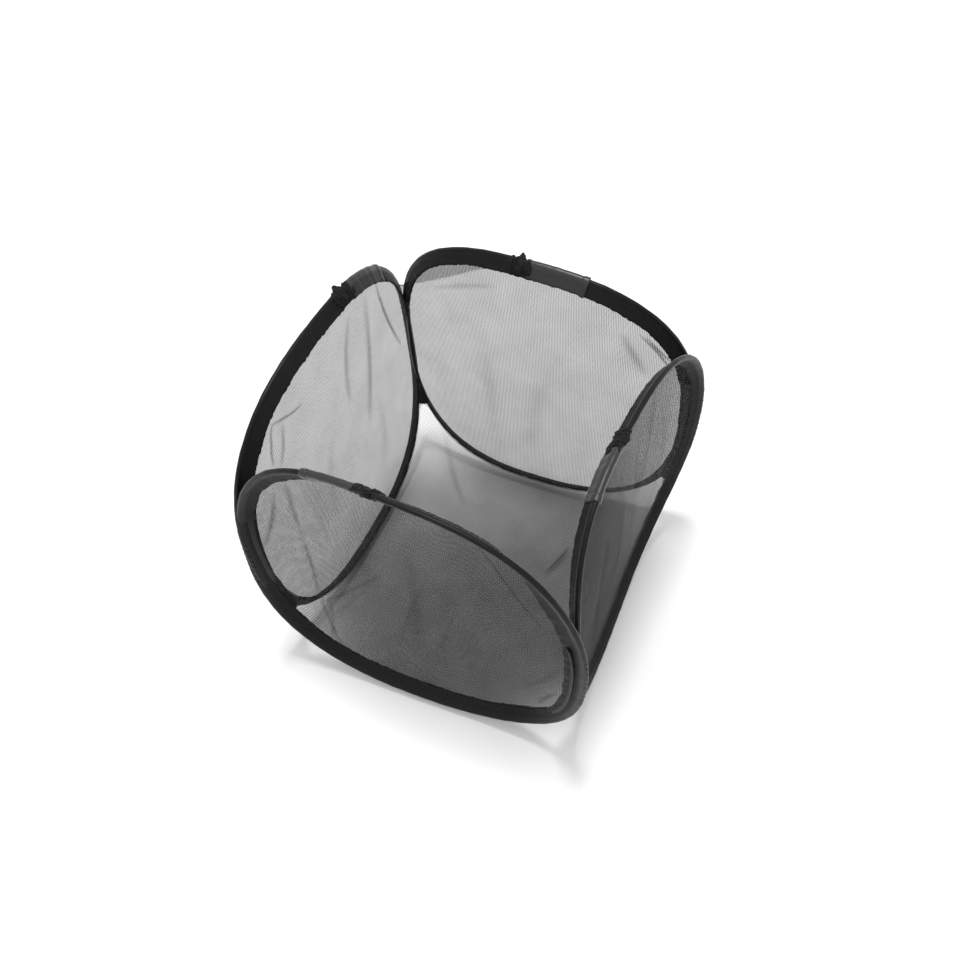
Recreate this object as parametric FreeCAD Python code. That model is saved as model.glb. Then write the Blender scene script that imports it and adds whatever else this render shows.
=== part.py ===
import FreeCAD, Part
import math
import os

# Folding crab trap: an open-topped cube of net on four spring-steel hoops.
# Each hoop runs in a sewn fabric casing and carries a net panel. The four
# panels are sewn together down their corners, which are fabric hinges, and a
# slack net floor closes the bottom. Millimetres, +Z up, origin on the ground
# at the middle of the trap. The front panel faces -Y, the right one +X.
#
# A panel is drawn flat: local X runs to the right as seen from outside, local
# Y points into the trap, local Z is up and its origin is the hoop's centre.

# ---- driving dimensions -------------------------------------------------
HOOP_WIDTH = 296.0          # between the wire's centres, side to side
HOOP_HEIGHT = 296.0         # between the wire's centres, bottom to top
CORNER_RADIUS = 93.0        # of the wire at a hoop's four rounded corners
CORNER_REACH = 0.767        # how far the rounded corner reaches into the square
WIRE_RADIUS = 1.4           # spring-steel wire
CHANNEL_RADIUS = 1.75       # bore of the casing's bead, in which the wire lies
BEAD_RADIUS = 2.3           # outside of the casing's bead
FLANGE_WIDTH = 13.0         # from the bead's centre to the casing's inner edge
FLANGE_THICKNESS = 1.6      # both layers of the casing with the net between
NET_THICKNESS = 0.8
NET_TUCK = 3.0              # how far the net is sewn into the casing
PANEL_LAP = 5.6             # side panels stand outside the front and back ones

FERRULE_LENGTH = 36.0       # crimped steel tube over the wire's two ends
FERRULE_RADIUS = 1.7
WIRE_GAP = 2.0              # between the wire's ends inside the ferrule

SLEEVE_LENGTH = 50.0        # overlapped end of the casing, doubled and thicker
SLEEVE_BEAD_RADIUS = 3.1
SLEEVE_FLANGE_THICKNESS = 2.6
SLEEVE_FLANGE_WIDTH = 13.6
WHIPPING_LENGTH = 9.0       # thread wound round the casing at the sleeve's end
WHIPPING_RADIUS = 3.1
KNOT_RADIUS = 1.4
KNOT_SPACING = 5.0

WEB_INSET = 3.0             # corner nets are sewn this far inside the bead
WEB_STAND_OFF = 3.4         # and this far in from the panel's middle plane
WEB_THICKNESS = 0.8
SEAM_TOP = 57.0             # the sewn stretch of a corner, from mid-height
SEAM_BOTTOM = -75.0
TOP_WEB_HEIGHT = 22.0       # small net patch above the sewn stretch
GUSSET_FOOT = 45.0          # from a hoop's middle to where its gusset ends
FLOOR_MARGIN = 3.0          # between the floor's edge and a hoop's middle plane

STITCH_PITCH = 8.0          # overcast thread round the bead down each corner
STITCH_LENGTH = 104.0
THREAD_RADIUS = 0.3

# Middle of the knots on each hoop's top edge, along local X.
KNOT_PLACE = {"front": -17.0, "right": -19.0, "back": 11.0, "left": -45.0}

# ---- worked out from them -----------------------------------------------
HALF_WIDTH = HOOP_WIDTH / 2
HALF_HEIGHT = HOOP_HEIGHT / 2
CENTRE_HEIGHT = HALF_HEIGHT + BEAD_RADIUS
FRONT_PLANE = HALF_WIDTH                # front and back hoops stand at -Y and +Y
SIDE_PLANE = HALF_WIDTH + PANEL_LAP     # left and right hoops stand at -X and +X

CORNER_X = CORNER_REACH * HALF_WIDTH - CORNER_RADIUS / math.sqrt(2)
CORNER_Z = CORNER_REACH * HALF_HEIGHT - CORNER_RADIUS / math.sqrt(2)


def tangent_radius(half, along, across):
    """Radius of a side's arc that touches the corner arcs from outside them.

    half is the hoop's half size on that side, along and across are the corner
    centre's distances along and across the side's own axis.
    """
    short = half - along
    top = CORNER_RADIUS ** 2 - across ** 2 - short ** 2
    return top / (2 * (CORNER_RADIUS - short))


SIDE_RADIUS = tangent_radius(HALF_WIDTH, CORNER_X, CORNER_Z)
TOP_RADIUS = tangent_radius(HALF_HEIGHT, CORNER_Z, CORNER_X)

# Turn about +Z and place of each panel's local frame.
PANELS = {
    "front": (0, (0, -FRONT_PLANE)),
    "right": (90, (SIDE_PLANE, 0)),
    "back": (180, (0, FRONT_PLANE)),
    "left": (270, (-SIDE_PLANE, 0)),
}

UP = FreeCAD.Vector(0, 0, 1)
INWARD = FreeCAD.Vector(0, 1, 0)


def point(x, y, z):
    return FreeCAD.Vector(x, y, z)


def hoop_arcs():
    """The hoop's eight arcs in order, as (centre, radius, start, end) in degrees.

    Angles are seen from outside, from local +X towards +Z. The arcs are the
    four sides and the four corners, each tangent to the next.
    """
    side_turn = math.degrees(math.atan2(CORNER_Z, CORNER_X - HALF_WIDTH + SIDE_RADIUS))
    top_turn = math.degrees(math.atan2(CORNER_Z - HALF_HEIGHT + TOP_RADIUS, CORNER_X))
    side = HALF_WIDTH - SIDE_RADIUS
    top = HALF_HEIGHT - TOP_RADIUS
    return [
        ((side, 0), SIDE_RADIUS, -side_turn, side_turn),
        ((CORNER_X, CORNER_Z), CORNER_RADIUS, side_turn, top_turn),
        ((0, top), TOP_RADIUS, top_turn, 180 - top_turn),
        ((-CORNER_X, CORNER_Z), CORNER_RADIUS, 180 - top_turn, 180 - side_turn),
        ((-side, 0), SIDE_RADIUS, 180 - side_turn, 180 + side_turn),
        ((-CORNER_X, -CORNER_Z), CORNER_RADIUS, 180 + side_turn, 180 + top_turn),
        ((0, -top), TOP_RADIUS, 180 + top_turn, 360 - top_turn),
        ((CORNER_X, -CORNER_Z), CORNER_RADIUS, 360 - top_turn, 360 - side_turn),
    ]


def on_arc(centre, radius, degrees, y=0.0):
    turn = math.radians(degrees)
    return point(centre[0] + radius * math.cos(turn), y, centre[1] + radius * math.sin(turn))


def arc_edge(centre, radius, start, end, y=0.0):
    middle = (start + end) / 2
    ends = [on_arc(centre, radius, turn, y) for turn in (start, middle, end)]
    return Part.Arc(*ends).toShape()


def outline(inset):
    """Closed wire of the hoop's outline, moved inwards by inset."""
    return Part.Wire([arc_edge(c, r - inset, s, e) for c, r, s, e in hoop_arcs()])


def plate(wires, thickness):
    """Flat plate in the panel's middle plane, from an outer wire and its holes."""
    face = Part.Face(wires)
    face.translate(INWARD * (-thickness / 2))
    return face.extrude(INWARD * thickness)


def disc(radius):
    """Round section of a wire, tube or bead, centred on the hoop's line."""
    return Part.Face(Part.Wire(Part.makeCircle(radius, point(0, 0, 0), UP)))


def strip(start, end, thickness):
    """Oblong section between two distances inwards from the hoop's line."""
    corner = point(-end, -thickness / 2, 0)
    return Part.makePlane(end - start, thickness, corner)


def casing_section(bead_radius, flange_width, flange_thickness):
    """Bead with its bore, and the flange whose two layers hold the net's edge."""
    whole = disc(bead_radius).fuse(strip(0, flange_width, flange_thickness))
    bored = whole.removeSplitter().cut(disc(CHANNEL_RADIUS))
    return bored.cut(strip(FLANGE_WIDTH - NET_TUCK, FLANGE_WIDTH, NET_THICKNESS))


def sweep(section, arcs):
    """Section carried along some of the hoop's arcs, as one solid.

    The section is drawn with +X outwards and +Y into the trap. It is set on
    each arc's start and turned about the arc's centre to the arc's end.
    """
    pieces = []
    for centre, radius, start, end in arcs:
        pivot = point(centre[0], 0, centre[1])
        face = section.copy()
        face.translate(point(radius, 0, 0))
        face.rotate(point(0, 0, 0), INWARD, -start)
        face.translate(pivot)
        pieces.append(face.revolve(pivot, -INWARD, end - start))
    solids = [solid for piece in pieces for solid in piece.Solids]
    if len(solids) == 1:
        return solids[0]
    return solids[0].multiFuse(solids[1:])


def stretch(start, end):
    """Arcs of the hoop's upper edge between two lengths along it.

    Lengths are measured from the middle of the top, positive towards local +X.
    """
    arcs = hoop_arcs()
    half_top = math.radians(90 - arcs[1][3]) * TOP_RADIUS
    corner = math.radians(arcs[1][3] - arcs[1][2]) * CORNER_RADIUS
    spans = [
        (arcs[1], half_top, half_top + corner),
        (arcs[2], -half_top, half_top),
        (arcs[3], -half_top - corner, -half_top),
    ]
    pieces = []
    for (centre, radius, first, _), low, high in spans:
        near = max(start, low)
        far = min(end, high)
        if far > near:
            turn_near = first + math.degrees((high - far) / radius)
            turn_far = first + math.degrees((high - near) / radius)
            pieces.append((centre, radius, turn_near, turn_far))
    return pieces


def place(shape, side):
    """Turn and move a shape from its panel's frame into the trap's frame."""
    turn, (x, y) = PANELS[side]
    placed = shape.copy()
    placed.rotate(point(0, 0, 0), UP, turn)
    placed.translate(point(x, y, CENTRE_HEIGHT))
    return placed


def save(shape, name):
    assert shape.isValid(), name
    shape.exportStep(f"parts/{name}.step")


def knots(along):
    """Two tied knots of the whipping thread, standing on the outside of its turns."""
    balls = []
    stand_out = WHIPPING_RADIUS + KNOT_RADIUS
    for shift in (-KNOT_SPACING / 2, KNOT_SPACING / 2):
        centre, radius, turn, _ = stretch(along + shift, along + shift + 1)[0]
        balls.append(Part.makeSphere(KNOT_RADIUS, on_arc(centre, radius, turn, -stand_out)))
    return Part.makeCompound(balls)


# ---- the four hoop panels -----------------------------------------------
os.makedirs("parts", exist_ok=True)

WHOLE = hoop_arcs()
NET = plate([outline(FLANGE_WIDTH - NET_TUCK)], NET_THICKNESS)
CASING_SECTION = casing_section(BEAD_RADIUS, FLANGE_WIDTH, FLANGE_THICKNESS)
CASING = sweep(CASING_SECTION, WHOLE)
WIRE_SECTION = disc(WIRE_RADIUS)
WIRE = sweep(WIRE_SECTION, WHOLE)
FERRULE_SECTION = disc(FERRULE_RADIUS).cut(WIRE_SECTION)
DOUBLED = casing_section(SLEEVE_BEAD_RADIUS, SLEEVE_FLANGE_WIDTH, SLEEVE_FLANGE_THICKNESS)
SLEEVE_SECTION = DOUBLED.cut(CASING_SECTION)
BEAD_SECTION = disc(BEAD_RADIUS).fuse(strip(0, FLANGE_WIDTH, FLANGE_THICKNESS))
WHIPPING_SECTION = disc(WHIPPING_RADIUS).cut(BEAD_SECTION)

for side in PANELS:
    knot = KNOT_PLACE[side]
    sleeve_end = knot - WHIPPING_LENGTH / 2
    join = sleeve_end - SLEEVE_LENGTH / 2

    gap = sweep(disc(CHANNEL_RADIUS), stretch(join - WIRE_GAP / 2, join + WIRE_GAP / 2))
    save(place(WIRE.cut(gap), side), f"{side}_hoop_wire")

    crimp = stretch(join - FERRULE_LENGTH / 2, join + FERRULE_LENGTH / 2)
    save(place(sweep(FERRULE_SECTION, crimp), side), f"{side}_wire_ferrule")

    save(place(CASING, side), f"{side}_hoop_casing")
    save(place(NET, side), f"{side}_net_panel")

    overlap = stretch(sleeve_end - SLEEVE_LENGTH, sleeve_end)
    save(place(sweep(SLEEVE_SECTION, overlap), side), f"{side}_splice_sleeve")

    wound = stretch(knot - WHIPPING_LENGTH / 2, knot + WHIPPING_LENGTH / 2)
    save(place(sweep(WHIPPING_SECTION, wound), side), f"{side}_splice_whipping")
    save(place(knots(knot), side), f"{side}_thread_knots")


# ---- the four corners ---------------------------------------------------
def turn_at(centre, radius, height):
    """Turn of the place at a local height on an arc of the hoop's right half."""
    share = (height - centre[1]) / radius
    return math.degrees(math.asin(max(-1.0, min(1.0, share))))


def web_edges(side, sign, low, high):
    """A hoop's arcs between two local heights, where a corner net is sewn on.

    sign is +1 for the hoop's right edge and -1 for its left. The arcs are
    listed from the top down and lie inside the bead and inside the panel.
    """
    arcs = hoop_arcs()
    bottom, lower_corner = [(c, r, s - 360, e - 360) for c, r, s, e in arcs[6:8]]
    edges = []
    for centre, radius, start, end in (arcs[1], arcs[0], lower_corner, bottom):
        radius = radius - WEB_INSET
        first = min(end, turn_at(centre, radius, high))
        last = max(start, turn_at(centre, radius, low))
        if centre == bottom[0]:
            last = max(last, -math.degrees(math.acos(GUSSET_FOOT / radius)))
        if first - last < 0.5:
            continue
        edge = arc_edge(centre, radius, first, last, WEB_STAND_OFF)
        if sign < 0:
            edge = edge.mirror(point(0, 0, 0), point(1, 0, 0))
        edges.append(place(edge, side))
    return edges


def web(sides, low, high, rise):
    """Thin net between the right edge of one hoop and the left edge of the next."""
    lead, follow = sides
    turn = PANELS[lead][0]
    inward = FreeCAD.Rotation(UP, turn).multVec(point(-1, 1, rise)).normalize()
    pieces = []
    for one, other in zip(web_edges(lead, 1, low, high), web_edges(follow, -1, low, high)):
        face = Part.makeRuledSurface(one, other)
        pieces.append(face.extrude(inward * WEB_THICKNESS))
    if len(pieces) == 1:
        return pieces[0]
    return pieces[0].multiFuse(pieces[1:])


def stitches(side, sign):
    """Turns of overcast thread round the bead of a hoop's upright edge.

    They are made on the left edge and mirrored for the right one, where sign
    is +1. The thread passes through the casing's flange, so no turn is whole.
    """
    centre = (SIDE_RADIUS - HALF_WIDTH, 0)
    count = int(STITCH_LENGTH / STITCH_PITCH)
    border = plate([outline(0), outline(FLANGE_WIDTH)], FLANGE_THICKNESS)
    loops = []
    for number in range(count + 1):
        turn = 180 - math.degrees((number - count / 2) * STITCH_PITCH / SIDE_RADIUS)
        middle = on_arc(centre, SIDE_RADIUS, turn)
        tangent = INWARD.cross(middle - point(centre[0], 0, 0)).normalize()
        loop = Part.makeTorus(BEAD_RADIUS + THREAD_RADIUS, THREAD_RADIUS, middle, tangent)
        loops.append(loop.cut(border))
    seam = Part.makeCompound(loops)
    if sign > 0:
        seam = seam.mirror(point(0, 0, 0), point(1, 0, 0))
    return place(seam, side)


CORNERS = {
    "front_right": (("front", "right"), ("front", 1)),
    "back_right": (("right", "back"), ("back", -1)),
    "back_left": (("back", "left"), ("back", 1)),
    "front_left": (("left", "front"), ("front", -1)),
}
FLOOR_LEVEL = -HALF_HEIGHT

for corner, (sides, stitched) in CORNERS.items():
    save(web(sides, FLOOR_LEVEL, SEAM_BOTTOM - WEB_THICKNESS, 1.0), f"{corner}_gusset")
    save(web(sides, SEAM_BOTTOM, SEAM_TOP, 0.0), f"{corner}_seam_tape")
    save(web(sides, SEAM_TOP, SEAM_TOP + TOP_WEB_HEIGHT, 0.0), f"{corner}_top_web")
    save(stitches(*stitched), f"{corner}_stitching")

# ---- the floor ----------------------------------------------------------
half_x = SIDE_PLANE - FLOOR_MARGIN
half_y = FRONT_PLANE - FLOOR_MARGIN
foot_x = GUSSET_FOOT
foot_y = GUSSET_FOOT
rim = [
    (foot_x, -half_y), (half_x, -foot_y), (half_x, foot_y), (foot_x, half_y),
    (-foot_x, half_y), (-half_x, foot_y), (-half_x, -foot_y), (-foot_x, -half_y),
]
corners = [point(x, y, 0) for x, y in rim]
floor = Part.Face(Part.makePolygon(corners + corners[:1])).extrude(UP * NET_THICKNESS)
save(floor, "floor_net")
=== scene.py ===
import math

import bmesh
import bpy
import numpy as np
from mathutils import Matrix, Vector


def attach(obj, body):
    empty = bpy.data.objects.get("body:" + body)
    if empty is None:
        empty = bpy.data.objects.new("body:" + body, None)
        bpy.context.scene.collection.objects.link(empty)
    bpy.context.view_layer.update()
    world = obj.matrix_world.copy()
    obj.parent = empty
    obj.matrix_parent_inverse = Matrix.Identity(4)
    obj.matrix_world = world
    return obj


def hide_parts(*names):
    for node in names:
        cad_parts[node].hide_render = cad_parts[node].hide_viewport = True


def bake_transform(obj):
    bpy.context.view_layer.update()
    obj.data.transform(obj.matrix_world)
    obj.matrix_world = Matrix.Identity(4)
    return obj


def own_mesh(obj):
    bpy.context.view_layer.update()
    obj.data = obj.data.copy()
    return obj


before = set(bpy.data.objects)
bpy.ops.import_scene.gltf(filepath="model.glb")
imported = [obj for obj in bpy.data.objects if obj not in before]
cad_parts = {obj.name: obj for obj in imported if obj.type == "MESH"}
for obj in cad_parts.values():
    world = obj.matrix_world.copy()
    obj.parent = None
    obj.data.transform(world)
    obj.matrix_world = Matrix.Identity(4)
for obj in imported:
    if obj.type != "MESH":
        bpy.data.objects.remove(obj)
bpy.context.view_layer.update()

# ---- studio -------------------------------------------------------------
# The trap stands on a wide roll of white studio paper. One soft lamp hangs
# nearly overhead, a little behind and to the left, and a white room fills in.
# The view looks down into the open top over the front right corner.


def linear(code):
    """Linear colour of an sRGB hex code: c/12.92 near black, else a 2.4 power."""
    shares = [int(code[i:i + 2], 16) / 255 for i in (1, 3, 5)]
    return [s / 12.92 if s <= 0.04045 else ((s + 0.055) / 1.055) ** 2.4 for s in shares] + [1.0]


def add(tree, kind, values=(), links=(), **settings):
    """Adds one node, sets its sockets to values and joins links to its sockets."""
    node = tree.nodes.new(kind)
    for name, value in settings.items():
        setattr(node, name, value)
    for socket, value in dict(values).items():
        node.inputs[socket].default_value = value
    for socket, source in dict(links).items():
        tree.links.new(source, node.inputs[socket])
    return node


def blank(name):
    """A new material and its emptied node tree."""
    material = bpy.data.materials.new(name)
    material.use_nodes = True
    material.node_tree.nodes.clear()
    return material, material.node_tree


# Matt uncoated paper: no gloss, a very faint pulp grain.
studio_paper, tree = blank("studio_paper")
where = add(tree, "ShaderNodeTexCoord")
pulp = add(tree, "ShaderNodeTexNoise", {"Scale": 700.0, "Detail": 3.0}, {"Vector": where.outputs["Object"]})
grain = add(tree, "ShaderNodeBump", {"Strength": 0.02, "Distance": 0.0002}, {"Height": pulp.outputs["Fac"]})
paper = add(tree, "ShaderNodeBsdfPrincipled",
            {"Base Color": linear("#fafafa"), "Roughness": 0.95, "Specular IOR Level": 0.1},
            {"Normal": grain.outputs["Normal"]})
add(tree, "ShaderNodeOutputMaterial", links={"Surface": paper.outputs["BSDF"]})

PAPER_HALF = 4.0
roll = bpy.data.meshes.new("studio_floor")
roll.from_pydata([(-PAPER_HALF, -PAPER_HALF, 0), (PAPER_HALF, -PAPER_HALF, 0),
                  (PAPER_HALF, PAPER_HALF, 0), (-PAPER_HALF, PAPER_HALF, 0)], [], [(0, 1, 2, 3)])
roll.materials.append(studio_paper)
studio_floor = bpy.data.objects.new("studio_floor", roll)
studio_floor.location.z = -0.0006
bpy.context.scene.collection.objects.link(studio_floor)

room = bpy.data.worlds.new("white_room")
room.use_nodes = True
room.node_tree.nodes["Background"].inputs["Color"].default_value = linear("#f8f8f8")
room.node_tree.nodes["Background"].inputs["Strength"].default_value = 0.92
bpy.context.scene.world = room

LAMP_PLACE = (-0.16, 0.22, 4.5)
lamp = bpy.data.lights.new("soft_lamp", "AREA")
lamp.shape = "DISK"
lamp.size = 0.7
lamp.energy = 96.0
soft_lamp = bpy.data.objects.new("soft_lamp", lamp)
soft_lamp.location = LAMP_PLACE
soft_lamp.rotation_euler = (-Vector(LAMP_PLACE)).to_track_quat("-Z", "Y").to_euler()
bpy.context.scene.collection.objects.link(soft_lamp)

bpy.context.scene.view_settings.view_transform = "Standard"

VIEW_TURN = math.radians(28.84)
VIEW_RISE = math.radians(52.83)
VIEW_ROLL = math.radians(-5.29)
VIEW_DISTANCE = 0.908
MID_HEIGHT = 152.6

back = Vector((math.sin(VIEW_TURN) * math.cos(VIEW_RISE),
               -math.cos(VIEW_TURN) * math.cos(VIEW_RISE), math.sin(VIEW_RISE)))
level = Vector((math.cos(VIEW_TURN), math.sin(VIEW_TURN), 0))
upright = back.cross(level)
across = level * math.cos(VIEW_ROLL) + upright * math.sin(VIEW_ROLL)
upward = upright * math.cos(VIEW_ROLL) - level * math.sin(VIEW_ROLL)
lens = bpy.data.cameras.new("camera")
lens.lens = 38.42
lens.sensor_width = 36.0
lens.shift_x = -0.00126
lens.shift_y = 0.0075
camera = bpy.data.objects.new("camera", lens)
camera.matrix_world = Matrix.Translation(Vector((0, 0, MID_HEIGHT / 1000)) + back * VIEW_DISTANCE) @ \
    Matrix((across, upward, back)).transposed().to_4x4()
bpy.context.scene.collection.objects.link(camera)
bpy.context.scene.camera = camera

# ---- hoop casings -------------------------------------------------------
# Each of the four hoops runs in a strip of black binding tape, folded over a
# spring wire and sewn down. The wire fills the outer edge, a round bead, and
# the sewn flange leans in towards the middle of the trap, where the net hangs.

# Right-hand and outward directions of each side, seen from outside.
SIDES = {
    "front": ((1, 0, 0), (0, -1, 0)),
    "right": ((0, 1, 0), (1, 0, 0)),
    "back": ((-1, 0, 0), (0, 1, 0)),
    "left": ((0, -1, 0), (-1, 0, 0)),
}
# How each hoop stands, in millimetres: half width and height, shift along the
# side, lift, distance outwards, then lean, twist and the two bows of the wire.
STANCE = {
    "front": dict(wide=150.6, high=149.8, shift=-1.0, lift=5.0, out=10.0,
                  lean=-2.5, twist=6.8, bow_wide=-13.0, bow_high=-16.9),
    "right": dict(wide=145.9, high=145.4, shift=3.4, lift=-4.6, out=5.0,
                  lean=-0.4, twist=7.3, bow_wide=-2.2, bow_high=-22.0),
    "back": dict(wide=147.0, high=147.8, shift=1.7, lift=1.4, out=-3.0,
                 lean=-0.9, twist=4.3, bow_wide=3.7, bow_high=-13.9),
    "left": dict(wide=147.6, high=148.4, shift=-1.7, lift=-1.6, out=5.2,
                 lean=3.1, twist=1.6, bow_wide=-3.8, bow_high=-12.6),
}
HALF_TRAP = 148.0           # from the trap's middle to a side
SQUARENESS = 2.62           # exponent of the hoop's rounded square outline
# Where a hoop's corner is pulled: turn and spread in degrees, share fuller, and
# millimetres outwards.
PULLED = {"front": (82, 24, 0.03, 0.0), "right": (-120, 30, -0.06, -9.0)}
BEAD_RADIUS = 2.4
FLANGE_WIDTH = 12.7         # from the bead's centre to the tape's inner edge
FLANGE_LEAN = 45.0          # degrees, from the hoop's plane to the trap's inside
# Where a flange is cut wider or narrower: turn and spread in degrees, and the
# millimetres that it gains there.
WIDER = {"front": (86, 36, 4.5), "right": (80, 42, -2.2)}
TAPE_HALF = 0.8             # half the thickness of the tape at its inner edge
PILLOW = 1.3                # how much thicker the soft tape is next to the bead
CASING_STEPS = 560


def bump(value, middle, width):
    """A smooth rise to 1 at middle: a Gaussian of that width."""
    return np.exp(-((np.asarray(value, float) - middle) / width) ** 2)


def step(value, low, high):
    """Smooth step from 0 at low to 1 at high: 3t^2 - 2t^3."""
    t = np.clip((np.asarray(value, float) - low) / (high - low), 0, 1)
    return t * t * (3 - 2 * t)


def to_trap(side, right, out, up):
    """Place in the trap, from a side's own right, out and up distances."""
    along, outward = (np.array(v, float) for v in SIDES[side])
    right, out, up = (np.asarray(v, float)[..., None] for v in (right, out, up))
    return right * along + (HALF_TRAP + out) * outward + (MID_HEIGHT + up) * np.array([0, 0, 1.0])


def outline(side, turn):
    """Right, out and up of the bead's centre at a clockwise turn from the top.

    The outline is a rounded square, |x|^n + |y|^n = 1. Its distance outwards
    is a plane's lean, a saddle's twist and the two bows of the springy wire.
    """
    s = STANCE[side]
    reach = (np.abs(np.sin(turn)) ** SQUARENESS + np.abs(np.cos(turn)) ** SQUARENESS) ** (-1 / SQUARENESS)
    at, spread, fuller, pull = PULLED.get(side, (0, 1, 0, 0))
    pulled = bump(np.degrees(turn), at, spread)
    reach = reach * (1 + fuller * pulled)
    x, y = reach * np.sin(turn), reach * np.cos(turn)
    out = s["out"] + s["lean"] * y + s["twist"] * x * y + s["bow_wide"] * x * x + s["bow_high"] * y * y
    out = out + pull * pulled
    return s["wide"] * x + s["shift"], out, s["high"] * y + s["lift"]


TURNS = np.linspace(-math.pi, math.pi, 4001)
LENGTHS = {}
for side in SIDES:
    line = to_trap(side, *outline(side, TURNS))
    run = np.concatenate([[0], np.cumsum(np.linalg.norm(np.diff(line, axis=0), axis=1))])
    LENGTHS[side] = run - np.interp(0, TURNS, run)


def turn_at(side, along):
    """Turn of the outline at a length along it, from the top's middle, clockwise."""
    low, high = LENGTHS[side][0], LENGTHS[side][-1]
    return np.interp((np.asarray(along, float) - low) % (high - low) + low, LENGTHS[side], TURNS)


def lean_of(side, turn):
    """How far the flange leans in, in radians; it relaxes where the tape is pulled."""
    degrees = np.degrees(turn)
    lean = np.full(np.shape(turn), FLANGE_LEAN)
    # The front flange lies flatter at its upper left and round its right end.
    if side == "front":
        lean = lean - 30 * bump(degrees, -38, 26) - 44 * step(degrees, 26, 58) * step(degrees, 152, 112)
    if side == "right":
        lean = lean - 18 * bump(np.abs(degrees), 180, 50)
    return np.radians(lean)


def casing_frame(side, turn):
    """Centre, inward and thickness directions of the casing at each turn.

    The path's tangent crossed with the outward direction points to the hoop's
    middle; both are then turned about the tangent by the flange's lean.
    """
    centre = to_trap(side, *outline(side, turn))
    ahead = to_trap(side, *outline(side, turn + 1e-3)) - to_trap(side, *outline(side, turn - 1e-3))
    tangent = ahead / np.linalg.norm(ahead, axis=-1, keepdims=True)
    outward = np.broadcast_to(np.array(SIDES[side][1], float), centre.shape)
    outward = outward - (outward * tangent).sum(-1, keepdims=True) * tangent
    outward = outward / np.linalg.norm(outward, axis=-1, keepdims=True)
    inward = np.cross(tangent, outward)
    lean = lean_of(side, turn)[..., None]
    return (centre, np.cos(lean) * inward - np.sin(lean) * outward,
            np.cos(lean) * outward + np.sin(lean) * inward)


def grid_mesh(name, points, uv=None, ring_rows=False, ring_columns=False, closed_ends=False, marks=None):
    """Mesh of a grid of points in millimetres: one quad for each cell.

    Rows or columns may join up in a ring. closed_ends fills the first and the
    last row. uv is given for the grid with its joining row or column repeated.
    """
    rows, columns = points.shape[:2]
    index = np.arange(rows * columns).reshape(rows, columns)
    wide = np.vstack([index, index[:1]]) if ring_rows else index
    wide = np.hstack([wide, wide[:, :1]]) if ring_columns else wide
    quads = np.stack([wide[:-1, :-1], wide[1:, :-1], wide[1:, 1:], wide[:-1, 1:]], -1).reshape(-1, 4)
    faces = quads.tolist()
    if closed_ends:
        faces += [index[0].tolist(), index[-1][::-1].tolist()]
    mesh = bpy.data.meshes.new(name)
    mesh.from_pydata(points.reshape(-1, 3) / 1000, [], faces)
    if uv is not None:
        corners = np.stack([uv[:-1, :-1], uv[1:, :-1], uv[1:, 1:], uv[:-1, 1:]], -2).reshape(-1, 2)
        flat = np.zeros((len(mesh.loops), 2))
        flat[:len(corners)] = corners
        mesh.uv_layers.new(name="cloth").data.foreach_set("uv", flat.ravel())
    for title, values in (marks or {}).items():
        mesh.attributes.new(title, "FLOAT", "POINT").data.foreach_set("value", np.ravel(values))
    mesh.polygons.foreach_set("use_smooth", np.ones(len(mesh.polygons), bool))
    mesh.update()
    return mesh


def turn_outwards(mesh):
    """Makes a closed mesh's faces point outwards."""
    shell = bmesh.new()
    shell.from_mesh(mesh)
    bmesh.ops.recalc_face_normals(shell, faces=shell.faces)
    shell.to_mesh(mesh)
    shell.free()
    return mesh


def fit(name, mesh, material, body):
    """Makes the mesh a piece of the trap, riding on a body if one is named."""
    mesh.materials.append(material)
    piece = bpy.data.objects.new(name, mesh)
    bpy.context.scene.collection.objects.link(piece)
    if body:
        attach(piece, body)
    return piece


def fold_flat(piece):
    """Gives the piece its own copy of its mesh."""
    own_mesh(piece)


# Polyester binding tape, woven and dyed black, which gives a dull cloth with
# fine cross ribs, a soft sheen at grazing angles and paler rubbed high spots.
RIB_PITCH = 0.0013          # metres; the real ribs are about 0.5 mm, too fine to show
WAVE_SCALE = 2 * math.pi / 20 / RIB_PITCH   # a wave node repeats every 2 pi / 20
binding_tape, tree = blank("black_woven_binding_tape")
cloth = add(tree, "ShaderNodeUVMap", uv_map="cloth")
place = add(tree, "ShaderNodeTexCoord")
ribs = add(tree, "ShaderNodeTexWave", {"Scale": WAVE_SCALE, "Distortion": 0.6, "Detail": 2.0},
           {"Vector": cloth.outputs["UV"]}, bands_direction="X")
picks = add(tree, "ShaderNodeTexWave", {"Scale": WAVE_SCALE, "Distortion": 0.4, "Detail": 1.0},
            {"Vector": cloth.outputs["UV"]}, bands_direction="Y")
weave = add(tree, "ShaderNodeMath", links={0: ribs.outputs["Fac"], 1: picks.outputs["Fac"]},
            operation="MAXIMUM")
rub = add(tree, "ShaderNodeTexNoise", {"Scale": 42.0, "Detail": 5.0, "Roughness": 0.6},
          {"Vector": place.outputs["Object"]})
slub = add(tree, "ShaderNodeTexNoise", {"Scale": 420.0, "Detail": 3.0}, {"Vector": place.outputs["Object"]})
shade = add(tree, "ShaderNodeMath", links={0: rub.outputs["Fac"], 1: slub.outputs["Fac"]},
            operation="MULTIPLY")
dye = add(tree, "ShaderNodeValToRGB", links={"Fac": shade.outputs[0]})
dye.color_ramp.elements[0].position = 0.12
dye.color_ramp.elements[0].color = linear("#050505")
dye.color_ramp.elements[1].position = 0.45
dye.color_ramp.elements[1].color = linear("#141414")
strip = add(tree, "ShaderNodeSeparateXYZ", links={"Vector": cloth.outputs["UV"]})
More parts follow.
